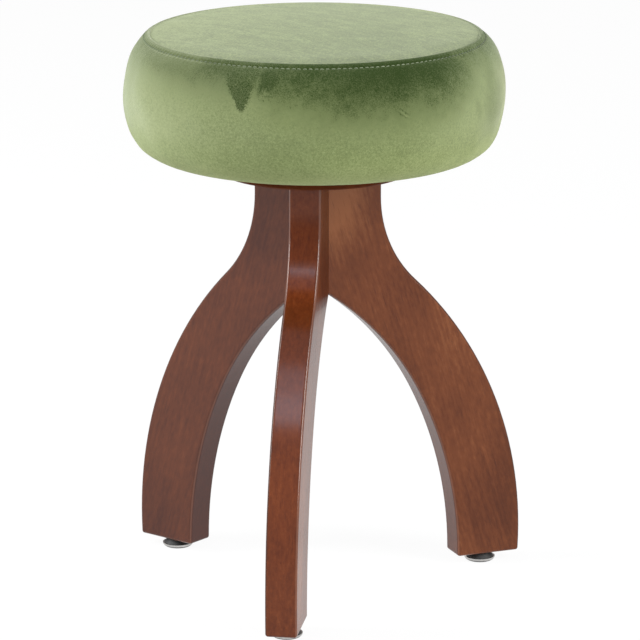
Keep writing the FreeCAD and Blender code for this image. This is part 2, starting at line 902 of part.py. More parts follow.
sides = list(LEG_TURNS)
for number, side in enumerate(sides):
    make_leg(side, ((number - 1) % len(sides), number))
    make_glide(side)
make_dowels()
make_cap()
make_fasteners("cap_screws", cap_screw_drawings(), len(sides), LEG_TURNS["front"])
make_plate("swivel_lower_plate", cap_top, dim.rivet_clear, lower_screw_drawing(dim.shank_clear))
make_plate("swivel_upper_plate", upper_plate_bottom, dim.running_clear, upper_screw_drawing(dim.shank_clear))
make_fasteners("lower_plate_screws", [lower_screw_drawing()], PLATE_SCREW_COUNT, PLATE_SCREW_TURN)
make_fasteners("upper_plate_screws", [upper_screw_drawing()], PLATE_SCREW_COUNT, PLATE_SCREW_TURN)
make_balls()
make_cage()
make_eyelet()
make_board()
make_dust_cover()
make_staples()
make_side_band()
make_top_panel()
make_foam()
doc.recompute()

failed = [item.Name for item in doc.Objects if "Invalid" in item.State or "Error" in item.State]
bodies = [item for item in doc.Objects if item.TypeId == "PartDesign::Body"]
failed += [body.Label for body in bodies if body.Shape.isNull() or not body.Shape.isValid()]
if failed:
    raise RuntimeError("failed: " + ", ".join(failed))

os.makedirs("parts", exist_ok=True)
for body in bodies:
    body.Shape.exportStep("parts/%s.step" % body.Label)
    print("%-22s %3d solids %12.1f mm3" % (body.Label, len(body.Shape.Solids), body.Shape.Volume))
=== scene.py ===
"""Vanity stool, in metres: a round velvet swivel cushion on three curved, stained wooden legs."""

import json
import math

import bpy
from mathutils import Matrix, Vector, noise
from mathutils.bvhtree import BVHTree


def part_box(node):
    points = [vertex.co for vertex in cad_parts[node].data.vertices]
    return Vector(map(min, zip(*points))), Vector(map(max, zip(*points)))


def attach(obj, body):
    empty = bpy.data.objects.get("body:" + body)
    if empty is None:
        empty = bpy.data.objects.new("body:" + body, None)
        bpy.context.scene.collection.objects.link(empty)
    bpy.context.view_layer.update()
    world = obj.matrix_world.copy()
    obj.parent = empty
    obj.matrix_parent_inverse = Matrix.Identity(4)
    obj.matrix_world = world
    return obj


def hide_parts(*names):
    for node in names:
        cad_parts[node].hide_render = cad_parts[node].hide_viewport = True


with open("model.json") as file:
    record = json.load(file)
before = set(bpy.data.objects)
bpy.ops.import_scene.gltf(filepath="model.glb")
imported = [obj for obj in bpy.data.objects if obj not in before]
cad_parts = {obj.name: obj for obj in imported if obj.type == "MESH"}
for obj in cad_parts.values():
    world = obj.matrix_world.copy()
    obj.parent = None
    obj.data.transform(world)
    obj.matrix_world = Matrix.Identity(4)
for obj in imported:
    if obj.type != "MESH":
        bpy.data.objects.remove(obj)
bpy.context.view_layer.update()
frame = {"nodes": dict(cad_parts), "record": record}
nodes = frame["nodes"]

MM = 0.001


# Shader expressions
def pick(sockets, key):
    """A socket by its place, its identifier or its name."""
    if isinstance(key, int):
        return sockets[key]
    return next(socket for socket in sockets if key in (socket.identifier, socket.name))


class Shade:
    """One socket of a finish; sums on it add Math nodes."""

    def __init__(self, finish, socket):
        self.finish = finish
        self.socket = socket

    def math(self, operation, first, second=0.0):
        return self.finish.add("Math", {"operation": operation}, {0: first, 1: second})

    def __add__(self, other):
        return self.math("ADD", self, other)

    def __radd__(self, other):
        return self.math("ADD", other, self)

    def __sub__(self, other):
        return self.math("SUBTRACT", self, other)

    def __rsub__(self, other):
        return self.math("SUBTRACT", other, self)

    def __mul__(self, other):
        return self.math("MULTIPLY", self, other)

    def __rmul__(self, other):
        return self.math("MULTIPLY", other, self)

    def __truediv__(self, other):
        return self.math("DIVIDE", self, other)

    def __rtruediv__(self, other):
        return self.math("DIVIDE", other, self)

    def __pow__(self, other):
        return self.math("POWER", self, other)

    def __neg__(self):
        return self.math("MULTIPLY", self, -1.0)

    def __abs__(self):
        return self.math("ABSOLUTE", self)

    def least(self, other):
        return self.math("MINIMUM", self, other)

    def most(self, other):
        return self.math("MAXIMUM", self, other)

    def sine(self):
        return self.math("SINE", self)

    def angle_from(self, other):
        return self.math("ARCTAN2", self, other)

    def ease(self, low, high):
        """0 at low, 1 at high, and smooth between them."""
        return self.finish.add("MapRange", {"interpolation_type": "SMOOTHSTEP"},
                               {"Value": self, "From Min": low, "From Max": high})

    def fade(self, low, high):
        """1 at low, 0 at high, and smooth between them."""
        return 1 - self.ease(low, high)


class Finish:
    """The node tree of a material or of the world while it is put together."""

    def __init__(self, owner):
        owner.use_nodes = True
        self.owner = owner
        self.nodes = owner.node_tree.nodes
        self.links = owner.node_tree.links
        self.nodes.clear()

    def add(self, kind, settings, sockets, out=0):
        """Adds a node, sets it up, then fills its sockets with values or links."""
        node = self.nodes.new("ShaderNode" + kind)
        for name, value in settings.items():
            if name == "stops":
                self.set_stops(node.color_ramp, value)
            else:
                setattr(node, name, value)
        for key, value in sockets.items():
            socket = pick(node.inputs, key)
            if isinstance(value, Shade):
                self.links.new(value.socket, socket)
            else:
                socket.default_value = value
        return Shade(self, pick(node.outputs, out)) if node.outputs else None

    def set_stops(self, ramp, stops):
        while len(ramp.elements) < len(stops):
            ramp.elements.new(0.5)
        for element, (place, colour) in zip(ramp.elements, stops):
            element.position = place
            element.color = (*colour, 1)

    def place(self, out="Object"):
        return self.add("TexCoord", {}, {}, out)

    def split(self, vector):
        parts = self.add("SeparateXYZ", {}, {0: vector})
        return [Shade(self, socket) for socket in parts.socket.node.outputs]

    def stretch(self, vector, factors):
        return self.add("VectorMath", {"operation": "MULTIPLY"}, {0: vector, 1: factors})

    def shift(self, vector, offset):
        return self.add("VectorMath", {"operation": "ADD"}, {0: vector, 1: offset})

    def turn(self, vector, axis, angle):
        return self.add("VectorRotate", {"rotation_type": axis}, {"Vector": vector, "Angle": angle})

    def speckle(self, vector, scale, detail=2.0, rough=0.5, bend=0.0):
        return self.add("TexNoise", {}, {"Vector": vector, "Scale": scale, "Detail": detail,
                                         "Roughness": rough, "Distortion": bend})

    def tint(self, factor, first, second):
        """Mixes two colours, each one a linked colour or three numbers."""
        pair = [colour if isinstance(colour, Shade) else (*colour, 1) for colour in (first, second)]
        return self.add("Mix", {"data_type": "RGBA"},
                        {"Factor_Float": factor, "A_Color": pair[0], "B_Color": pair[1]}, "Result_Color")

    def ramp(self, value, stops):
        return self.add("ValToRGB", {"stops": stops}, {"Fac": value})

    def relief(self, height, depth, strength=1.0):
        return self.add("Bump", {}, {"Strength": strength, "Distance": depth, "Height": height})

    def coat_with(self, sockets):
        """Ends the material in one Principled surface."""
        shader = self.add("BsdfPrincipled", {}, sockets)
        self.add("OutputMaterial", {}, {"Surface": shader})
        return self.owner


def new_finish(name):
    return Finish(bpy.data.materials.new(name))


# Cushion sizes, from the solids that the cover takes the place of
band_low, band_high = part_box("cover_side_band")
panel_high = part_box("cover_top_panel")[1]
board_low, board_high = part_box("seat_board")
cloth_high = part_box("dust_cover")[1]

SEAT_REACH = band_high.x
SEAT_BASE = band_low.z
CROWN_TOP = panel_high.z
BULGE_BEND = 93.8 * MM
ROLL_BEND = 32.7 * MM
WIDEST_RISE = 51.2 * MM
HIGH_ROLL_RISE = 21 * MM
SEAM_INSET = 22.5 * MM
ROLL_TUCK = 7.3 * MM
TUCK_RUN = 8.5 * MM
TUCK_EASE = 1.5 * MM
FLANGE_WIDTH = 12 * MM
COVER_THICK = 1.6 * MM
BOARD_GAP = 0.2 * MM

bulge_x = SEAT_REACH - BULGE_BEND
widest_z = SEAT_BASE + WIDEST_RISE
low_roll_z = SEAT_BASE + ROLL_BEND
low_join = math.asin((widest_z - low_roll_z) / (BULGE_BEND - ROLL_BEND))
low_roll_x = bulge_x + (BULGE_BEND - ROLL_BEND) * math.cos(low_join)
high_roll_z = widest_z + HIGH_ROLL_RISE
high_join = math.asin(HIGH_ROLL_RISE / (BULGE_BEND - ROLL_BEND))
high_roll_x = bulge_x + (BULGE_BEND - ROLL_BEND) * math.cos(high_join)
seam_reach = SEAT_REACH - SEAM_INSET
seam_turn = math.acos((seam_reach - high_roll_x) / ROLL_BEND)
seam_z = high_roll_z + ROLL_BEND * math.sin(seam_turn)
crown_rise = CROWN_TOP - seam_z
crown_bend = (seam_reach ** 2 + crown_rise ** 2) / (2 * crown_rise)
roll_inner = low_roll_x - ROLL_TUCK
flange_outer = roll_inner - TUCK_RUN
flange_inner = flange_outer - FLANGE_WIDTH
lap_z = board_low.z - COVER_THICK

# Top stitching
STITCHES = 196
STITCH_DROP = 6.4 * MM
STITCH_LENGTH = 3.1 * MM
STITCH_WANDER = 0.12
STITCH_SLANT = 0.25 * MM
THREAD_RADIUS = 0.38 * MM
THREAD_SIDES = 6
THREAD_STEPS = 6

# Seam, creases and pleats
PANEL_DIP = 0.9 * MM
PANEL_SWELL = 0.5 * MM
LAP_FOLD = 0.75 * MM
STITCH_GROOVE = 0.75 * MM
PANEL_CREASE = 0.28 * MM
BAND_CREASE = 0.32 * MM
PLEAT_DEPTH = 0.7 * MM
PLEATS = 58

# The cover's mesh: its columns, and how far apart its rings lie
AROUND = 320
COLUMN_ANGLES = [2 * math.pi * n / AROUND for n in range(AROUND)]
LINE_STEP = 0.2 * MM
ROW_GAP = 3.2 * MM
SEAM_ROW_GAP = 0.6 * MM
SEAM_ZONE = (-4 * MM, 10 * MM)

# The pad that is swelled to find how unevenly the filling stands under the cover
PAD_AROUND = 96
PAD_INSET = 3 * MM
PAD_CELL = 5 * MM
PAD_DIMPLE = 1.6 * MM
PAD_PRESSURE = 4.0
PAD_STIFFNESS = 2.0
PAD_STEPS = 20
PAD_CAP = 6 * MM
SEAM_HOLD = 5 * MM
BASE_HOLD = 8 * MM
PROBE_DEPTH = 14 * MM
UNEVEN_MOST = 1.3 * MM
SMOOTHINGS = 3

# Dust cloth
CLOTH_AROUND = 192
CLOTH_THICK = 0.4 * MM
CLOTH_HOLE = 17.6 * MM
CLOTH_INSET = 0.2 * MM
CLOTH_STEP_RUN = 1.6 * MM
PUCKER_DEPTH = 0.1 * MM
PUCKERS = 64


# Cushion
def polar(angle, reach, height):
    """A point at an angle from the front, turning to the right, and at a reach from the swivel axis."""
    return Vector((reach * math.sin(angle), -reach * math.cos(angle), height))


def arc(centre_x, centre_z, bend, start, end, step):
    """Points along a bend from one slope angle to another, without the last one."""
    count = max(2, round(abs(end - start) * bend / step))
    angles = [start + (end - start) * n / count for n in range(count)]
    return [(centre_x + bend * math.cos(a), centre_z + bend * math.sin(a)) for a in angles]


def smooth(value):
    """0 up to 0, 1 from 1, and smooth between them."""
    value = min(max(value, 0.0), 1.0)
    return value * value * (3 - 2 * value)


def cover_line(step):
    """The cover's section from the crown, over the seam and the rolls, to the edge under the board."""
    crown_half = math.asin(seam_reach / crown_bend)
    line = arc(0, CROWN_TOP - crown_bend, crown_bend, math.pi / 2, math.pi / 2 - crown_half, step)
    seam_at = len(line)
    line += arc(high_roll_x, high_roll_z, ROLL_BEND, seam_turn, high_join, step)
    line += arc(bulge_x, widest_z, BULGE_BEND, high_join, -low_join, step)
    line += arc(low_roll_x, low_roll_z, ROLL_BEND, -low_join, -math.pi / 2, step)
    count = round((low_roll_x - flange_inner) / step)
    for n in range(count + 1):
        reach = low_roll_x + (flange_inner - low_roll_x) * n / count
        drawn_in = smooth((roll_inner + TUCK_EASE - reach) / (TUCK_RUN + 2 * TUCK_EASE))
        line.append((reach, SEAT_BASE + (lap_z - SEAT_BASE) * drawn_in))
    return line, seam_at


class Row:
    """One ring of the cover: its place, the way it faces and its run past the seam."""

    def __init__(self, reach, height, facing, run):
        self.reach = reach
        self.height = height
        self.facing = facing
        self.run = run

    def at(self, angle, out=0.0):
        return polar(angle, self.reach + self.facing[0] * out, self.height + self.facing[1] * out)

    def way(self, angle):
        return polar(angle, self.facing[0], self.facing[1])


def cover_rows():
    """Rings of the cover, close together at the seam and wider apart elsewhere."""
    line, seam_at = cover_line(LINE_STEP)
    runs = [0.0]
    for (x0, z0), (x1, z1) in zip(line, line[1:]):
        runs.append(runs[-1] + math.hypot(x1 - x0, z1 - z0))
    seam_run = runs[seam_at]
    rows = []
    last = -1.0
    for n, (x, z) in enumerate(line):
        run = runs[n] - seam_run
        apart = SEAM_ROW_GAP if SEAM_ZONE[0] < run < SEAM_ZONE[1] else ROW_GAP
        if n not in (0, seam_at, len(line) - 1) and runs[n] - last < apart:
            continue
        x0, z0 = line[max(n - 1, 0)]
        x1, z1 = line[min(n + 1, len(line) - 1)]
        length = math.hypot(x1 - x0, z1 - z0)
        rows.append(Row(x, z, ((z0 - z1) / length, (x1 - x0) / length), run))
        last = runs[n]
    return rows


def new_object(name, points, faces):
    """A mesh object in the scene."""
    mesh = bpy.data.meshes.new(name)
    mesh.from_pydata(points, [], faces)
    mesh.update()
    made = bpy.data.objects.new(name, mesh)
    bpy.context.scene.collection.objects.link(made)
    return made


def ring_faces(ring_count, around, first=0):
    """Quads between rings that follow each other."""
    faces = []
    for ring in range(ring_count - 1):
        near, far = first + ring * around, first + (ring + 1) * around
        for n in range(around):
            m = (n + 1) % around
            faces.append((near + n, far + n, far + m, near + m))
    return faces


def modify(made, name, kind, **settings):
    """Adds a modifier to an object and sets it up."""
    modifier = made.modifiers.new(name, kind)
    for key, value in settings.items():
        setattr(modifier, key, value)
    return modifier


def applied(made):
    """The object's mesh with its modifiers worked in."""
    bpy.context.view_layer.update()
    seen = made.evaluated_get(bpy.context.evaluated_depsgraph_get())
    mesh = bpy.data.meshes.new_from_object(seen)
    made.modifiers.clear()
    made.data = mesh
    return mesh


def stuffed_pad(rows):
    """A slightly small pad, swelled by its filling between the seam and the seat board."""
    outer = [row for row in rows if row.facing[1] > -0.98][::4]
    points = [row.at(2 * math.pi * n / PAD_AROUND, -PAD_INSET) for row in outer for n in range(PAD_AROUND)]
    faces = ring_faces(len(outer), PAD_AROUND)
    faces.append(tuple(range(PAD_AROUND))[::-1])
    faces.append(tuple(len(points) - PAD_AROUND + n for n in range(PAD_AROUND)))
    pad = new_object("pad_filling", points, faces)
    modify(pad, "even_mesh", "REMESH", mode="VOXEL", voxel_size=PAD_CELL)
    applied(pad)
    start = [vertex.co.copy() for vertex in pad.data.vertices]
    held = pad.vertex_groups.new(name="held")
    for vertex in pad.data.vertices:
        place = vertex.co
        reach = math.hypot(place.x, place.y)
        at_seam = abs(reach - seam_reach) < SEAM_HOLD and place.z > high_roll_z
        at_base = place.z < SEAT_BASE + PAD_INSET + BASE_HOLD
        held.add([vertex.index], 1.0 if at_seam or at_base else 0.0, "REPLACE")
        soft_spot = noise.noise(place * 21) + 0.6 * noise.noise(place * 47)
        if not (at_seam or at_base):
            vertex.co -= vertex.normal * (soft_spot * PAD_DIMPLE)
    cloth = modify(pad, "swell", "CLOTH")
    cloth.settings.use_pressure = True
    cloth.settings.uniform_pressure_force = PAD_PRESSURE
    cloth.settings.effector_weights.gravity = 0.0
    cloth.settings.vertex_group_mass = "held"
    cloth.settings.bending_stiffness = PAD_STIFFNESS
    cloth.point_cache.frame_start = 1
    cloth.point_cache.frame_end = PAD_STEPS
    for step in range(1, PAD_STEPS + 1):
        bpy.context.scene.frame_set(step)
    applied(pad)
    bpy.context.scene.frame_set(1)
    for vertex, was in zip(pad.data.vertices, start):
        move = vertex.co - was
        if move.length > PAD_CAP:
            vertex.co = was + move * (PAD_CAP / move.length)
    modify(pad, "finer", "SUBSURF", levels=1)
    applied(pad)
    return pad


def evened(grid):
    """Each place averaged with its neighbours on its own ring and on the rings above and below."""
    averaged = []
    for r, line in enumerate(grid):
        above, below = grid[max(r - 1, 0)], grid[min(r + 1, len(grid) - 1)]
        averaged.append([0.3 * line[n] + 0.2 * (line[n - 1] + line[(n + 1) % AROUND])
                         + 0.15 * (above[n] + below[n]) for n in range(AROUND)])
    return averaged


def pad_unevenness(rows):
    """How far the stuffed pad stands off its own mean, ring by ring."""
    pad = stuffed_pad(rows)
    tree = BVHTree.FromPolygons([vertex.co for vertex in pad.data.vertices],
                                [tuple(face.vertices) for face in pad.data.polygons])
    bpy.data.objects.remove(pad)
    grid = []
    for row in rows:
        offs = []
        for angle in COLUMN_ANGLES:
            hit = tree.ray_cast(row.at(angle, -PROBE_DEPTH), row.way(angle), 2 * PROBE_DEPTH)
            offs.append(hit[3] - PROBE_DEPTH if hit[0] else None)
        known = [off for off in offs if off is not None]
        mean = sum(known) / len(known) if known else 0.0
        centred = [0.0 if off is None else off - mean for off in offs]
        grid.append([min(max(off, -UNEVEN_MOST), UNEVEN_MOST) for off in centred])
    for smoothing in range(SMOOTHINGS):
        grid = evened(grid)
    return grid


def bell(value, width):
    """1 at 0, falling off to both sides."""
    return math.exp(-(value / width) ** 2)


def ring_noise(angle, scale, height):
    """Noise that closes on itself round the seat."""
    return noise.noise(Vector((math.sin(angle) * scale, math.cos(angle) * scale, height)))


def seam_shape(run):
    """The lapped seam: the panel dips under the band's folded edge, and the stitching draws a groove."""
    if run < 0:
        return -PANEL_DIP * math.exp(run / (5 * MM)) + PANEL_SWELL * bell(run + 14 * MM, 9 * MM)
    fold = LAP_FOLD * smooth(run / (1.2 * MM)) * (1 - smooth((run - 3 * MM) / (9 * MM)))
    groove = -STITCH_GROOVE * bell(run - STITCH_DROP, 1.3 * MM)
    return fold + groove - PANEL_DIP * (1 - smooth(run / (1.0 * MM)))


def pulls(angle, row):
    """Faint creases: short ones below the stitching, longer ones on the panel, pleats under the seat."""
    if row.run < 0:
        away = -row.run
        crease = ring_noise(angle, 26, row.reach * 10)
        return PANEL_CREASE * crease * smooth(away / (4 * MM)) * (1 - smooth(away / (55 * MM)))
    wander = ring_noise(angle, 9, 0.3)
    if row.facing[1] > -0.5:
        below = row.run - STITCH_DROP
        crease = BAND_CREASE * ring_noise(angle, 33, 2.0) * (0.6 + 0.4 * wander)
        return crease * smooth(below / (3 * MM)) * (1 - smooth(below / (24 * MM)))
    gathered = smooth((low_roll_x + 6 * MM - row.reach) / (8 * MM))
    gathered = gathered * smooth((row.reach - flange_inner) / (8 * MM))
    return PLEAT_DEPTH * gathered * (math.sin(PLEATS * angle + 3 * wander) - 1)


def make_cushion():
    """The velvet cover over its foam, hollow below where the seat board goes in."""
    rows = cover_rows()
    uneven = pad_unevenness(rows)
    points = []
    for row, offs in zip(rows[1:], uneven[1:]):
        away = smooth((row.reach - 12 * MM) / (30 * MM))
        near_seam = 1 - 0.7 * bell(row.run, 9 * MM)
        lies_flat = smooth((row.facing[1] + 0.97) / 0.3)
        for angle, off in zip(COLUMN_ANGLES, offs):
            out = seam_shape(row.run) + pulls(angle, row) + off * away * near_seam * lies_flat
            points.append(row.at(angle, out))
    hole_reach = board_high.x + BOARD_GAP
    hole_base = board_low.z - BOARD_GAP
    hole_top = board_high.z + BOARD_GAP
    inside = [(flange_inner, hole_base), (hole_reach, hole_base), (hole_reach, hole_top)]
    for reach, height in inside:
        points += [polar(angle, reach, height) for angle in COLUMN_ANGLES]
    rings = len(rows) - 1 + len(inside)
    faces = ring_faces(rings, AROUND)
    crown, ceiling = len(points), len(points) + 1
    points += [Vector((0, 0, CROWN_TOP)), Vector((0, 0, hole_top))]
    last = (rings - 1) * AROUND
    for n in range(AROUND):
        m = (n + 1) % AROUND
        faces.append((crown, n, m))
        faces.append((ceiling, last + m, last + n))
    cushion = new_object("seat_cushion", points, faces)
    cushion.data.shade_smooth()
    stitch_row = min(range(len(rows)), key=lambda n: abs(rows[n].run - STITCH_DROP))
    first = (stitch_row - 1) * AROUND
    stitch_line = points[first:first + AROUND]
    return cushion, stitch_line, rows[stitch_row]


def make_stitching(line, row):
    """Top stitching: short threads that dip into the cover at both ends."""
    points, faces = [], []
    half = 0.5 * STITCH_LENGTH / row.reach
    for n in range(STITCHES):
        middle = 2 * math.pi * (n + STITCH_WANDER * noise.noise(Vector((n * 0.7, 0, 0)))) / STITCHES
        slant = STITCH_SLANT * noise.noise(Vector((0, n * 0.9, 0)))
        first = len(points)
        for s in range(THREAD_STEPS + 1):
            along = 2 * s / THREAD_STEPS - 1
            angle = middle + half * along
            column = (angle % (2 * math.pi)) * AROUND / (2 * math.pi)
            low = int(column) % AROUND
            ground = line[low].lerp(line[(low + 1) % AROUND], column - int(column))
            facing = row.way(angle)
            across = Vector((math.cos(angle), math.sin(angle), 0)).cross(facing)
            lift = facing * (THREAD_RADIUS * (1.0 - 1.5 * along ** 4))
            centre = ground + lift + across * (slant * along)
            radius = THREAD_RADIUS * math.sqrt(max(1 - 0.75 * along ** 6, 0.05))
            for k in range(THREAD_SIDES):
                turn = 2 * math.pi * k / THREAD_SIDES
                points.append(centre + (facing * math.cos(turn) + across * math.sin(turn)) * radius)
        faces += [face[::-1] for face in ring_faces(THREAD_STEPS + 1, THREAD_SIDES, first)]
        faces.append(tuple(first + k for k in range(THREAD_SIDES))[::-1])
        faces.append(tuple(first + THREAD_STEPS * THREAD_SIDES + k for k in range(THREAD_SIDES)))
    stitching = new_object("top_stitching", points, faces)
    stitching.data.shade_smooth()
    return stitching


def make_dust_cloth():
    """Black cloth stretched under the board, stepped down over the cover's edge, slightly puckered."""
    inner, outer = CLOTH_HOLE, cloth_high.x - CLOTH_INSET
    step_reach = flange_inner - 1 * MM
    step_drop = COVER_THICK + 0.1 * MM
    flat_end, rim_start = step_reach - 4 * MM, step_reach + 1 * MM
    reaches = [inner + (flat_end - inner) * n / 12 for n in range(12)]
    reaches += [flat_end + 0.5 * MM * n for n in range(10)]
    reaches += [rim_start + (outer - rim_start) * n / 8 for n in range(9)]
    top = cloth_high.z - 0.05 * MM
    points = []
    for lower in (0, 1):
        for reach in reaches[::-1] if lower else reaches:
            drop = step_drop * smooth((reach - step_reach + CLOTH_STEP_RUN) / CLOTH_STEP_RUN)
            free = smooth((reach - step_reach) / (3 * MM)) * smooth((outer - reach) / (2 * MM))
            for n in range(CLOTH_AROUND):
                angle = 2 * math.pi * n / CLOTH_AROUND
                pucker = PUCKER_DEPTH * free * (1 + math.sin(PUCKERS * angle))
                points.append(polar(angle, reach, top - drop - lower * (CLOTH_THICK + pucker)))
    rings = 2 * len(reaches)
    faces = [face[::-1] for face in ring_faces(rings, CLOTH_AROUND)]
    last = (rings - 1) * CLOTH_AROUND
    for n in range(CLOTH_AROUND):
        m = (n + 1) % CLOTH_AROUND
        faces.append((n, last + n, last + m, m))
    cloth = new_object("dust_cloth", points, faces)
    cloth.data.shade_smooth()
    return cloth, 2 * outer, math.pi * (outer ** 2 - inner ** 2)


# Finishes
# Creases on the top panel, drawn as painted highlight and painted shade: where their middles are, to the
# right of the axis and behind it
PANEL_STROKES = [(43 * MM, 72 * MM), (59 * MM, 92 * MM), (75 * MM, 77 * MM), (86 * MM, 72 * MM)]
STROKE_HEADING = math.radians(55)
STROKE_LENGTH = 30 * MM
STROKE_WIDTH = 2.4 * MM

# Marks in the pile, with a strip of painted shade and a fold of painted highlight and shade: angles from
# the front, turning to the right, in radians, and heights above the floor
SWEPT_EDGE = 430 * MM
SWEPT_RUN = 45 * MM
PATCH_ANGLE = 0.56
PATCH_EDGE = 432.5 * MM
WEDGE_ANGLE = -0.229
WEDGE_TIP = 439.5 * MM
WEDGE_HEIGHT = 33 * MM
BLOT_ANGLE = -0.105
STRIP_ANGLE = 1.33
FOLD_ANGLE = 0.619
FOLD_HEIGHT = 436.3 * MM
FOLD_WIDTH = 1.7 * MM
STITCH_HEIGHT = 473.2 * MM
SEAM_BLUR = 0.6 * MM


class Pile:
    """Where a spot of the cover is, and how unevenly the pile lies there, from clouds to fibres."""

    def __init__(self, finish):
        self.spot = finish.place()
        self.x, self.y, self.z = finish.split(self.spot)
        self.angle = self.x.angle_from(-self.y)
        self.cloud = finish.speckle(self.spot, 36, 3, 0.55) - 0.5
        self.drift = finish.speckle(self.spot, 130, 3, 0.6) - 0.5
        self.tuft = finish.speckle(self.spot, 520, 3, 0.75) - 0.5
        self.fibre = finish.speckle(self.spot, 1500, 2, 0.6) - 0.5
        self.ragged_z = (self.z + self.cloud * 0.028 + self.drift * 0.028
                         + self.tuft * 0.010 + self.fibre * 0.010)
        self.mottle = self.tuft * 0.82 + self.fibre * 0.72 + self.drift * 0.20


def swept_pile(pile):
    """Pile swept over toward the seam: most a little left of the front, least at the back."""
    calm_z = pile.z + pile.cloud * 0.016 + pile.drift * 0.012 + pile.tuft * 0.006
    left = -pile.angle
    strength = 0.70 + abs(pile.angle + 0.40).fade(0.10, 0.28) * 0.22 - left.ease(0.70, 1.10) * 0.18
    swept = ((calm_z - SWEPT_EDGE) / SWEPT_RUN).most(0.0) ** 2.0 * strength
    swept = swept * (1 - abs(pile.angle).ease(1.90, 2.60) * 0.75)
    return swept.least(0.74 - left.ease(0.42, 0.62) * 0.28)


def dark_patch(pile):
    """A wide cloudy patch below the seam, to the right of the front."""
    off_middle = pile.angle - PATCH_ANGLE
    over = pile.ragged_z - PATCH_EDGE - off_middle * off_middle * 0.038
    patch = over.ease(-0.024, 0.026) * 0.5 + over.ease(-0.010, 0.048) * 0.5
    patch = patch * (pile.angle + pile.drift * 0.10).ease(-0.30, -0.10)
    return patch * (pile.angle + pile.cloud * 0.4 + pile.drift * 0.2).fade(0.92, 1.50)


def dark_wedge(pile):
    """A narrow wedge that points down from the seam, to the left of the front."""
    rise = (pile.z - WEDGE_TIP) / WEDGE_HEIGHT
    off_axis = abs(pile.angle - WEDGE_ANGLE + rise * 0.027) + pile.drift * 0.03 + pile.tuft * 0.06
    wedge = off_axis.fade(rise * 0.094 + 0.008, rise * 0.140 + 0.020)
    return wedge * pile.z.ease(0.4370, 0.4415) * (0.78 + pile.fibre * 1.1)


def dark_blot(pile):
    """A small blot at the seam, between the wedge and the patch."""
    off_middle = abs(pile.angle - BLOT_ANGLE) + pile.drift * 0.16 + pile.tuft * 0.05
    return off_middle.fade(0.030, 0.090) * pile.ragged_z.ease(0.442, 0.462) * 0.88


def painted_shade_strip(pile):
    """Painted shade: a faint upright strip darkening the right flank."""
    off_middle = abs(pile.angle - STRIP_ANGLE) + pile.cloud * 0.25 + pile.drift * 0.1
    return off_middle.fade(0.0, 0.30) * pile.z.ease(0.385, 0.425) * 0.33


def painted_fold(pile):
    """A short slanting fold drawn in colour: a painted highlight along its middle, painted shade beside
    it.
    """
    run = (pile.angle - FOLD_ANGLE) * SEAT_REACH
    rise = pile.z - FOLD_HEIGHT + pile.tuft * 0.0024 + pile.drift * 0.003
    along = run * 0.8 - rise * 0.6
    across = run * 0.6 + rise * 0.8
    fold = (across * (math.pi / FOLD_WIDTH) - math.pi / 2).sine() * abs(across).fade(2 * MM, 3 * MM)
    return fold * abs(along).fade(2.4 * MM, 7 * MM) * 0.24


def painted_crease(finish, spot, place):
    """A faint crease drawn in colour: a painted highlight along one side and painted shade along the
    other.
    """
    from_middle = finish.shift(spot, (-place[0], -place[1], 0))
    along, across = finish.split(finish.turn(from_middle, "Z_AXIS", -STROKE_HEADING))[:2]
    reach = abs(along).fade(0.3 * STROKE_LENGTH, 0.5 * STROKE_LENGTH)
    return (across * (math.pi / STROKE_WIDTH)).sine() * reach * abs(across).fade(0, STROKE_WIDTH) * 0.5


def band_nap_and_light(pile):
    """How pale the side band is: its pile, and painted light making it a little paler low in front and on
    the left flank.
    """
    # Painted light: paler low in front and on the left flank.
    low_front = pile.z.fade(0.380, 0.412) * abs(pile.angle - 0.05).fade(0.3, 0.9)
    left = -pile.angle
    flank = pile.z.ease(0.388, 0.414) * pile.z.fade(0.452, 0.474)
    flank = flank * left.ease(0.20, 0.60) * left.fade(0.90, 1.15)
    return 0.72 + pile.cloud * 0.20 + pile.mottle + low_front * 0.14 + flank * 0.15


def panel_nap(finish, pile):
    """How pale the top panel's pile is: brushed one way, paler toward its edges and most on the left, with
    a few creases drawn in as painted highlight and painted shade.
    """
    lay = finish.stretch(finish.turn(pile.spot, "Z_AXIS", 0.6), (40, 150, 40))
    brushed = finish.speckle(lay, 1, 3, 0.6) - 0.5
    strokes = sum(painted_crease(finish, pile.spot, place) for place in PANEL_STROKES)
    nap = 0.42 + brushed * 0.80 + pile.mottle * 2.3 + pile.cloud * 0.35
    return nap - pile.x * 0.9 + pile.x * pile.x * 9 + strokes


def pile_shader(finish, colour, relief, sheen, sheen_tint):
    """One lay of the pile, with more or less of the dusty sheen of its tips."""
    return finish.add("BsdfPrincipled", {}, {
        "Base Color": colour, "Roughness": 0.95, "Normal": relief,
        "Diffuse Roughness": 1.0, "Specular IOR Level": 0.1,
        "Sheen Weight": sheen, "Sheen Roughness": 0.55, "Sheen Tint": (*sheen_tint, 1)})


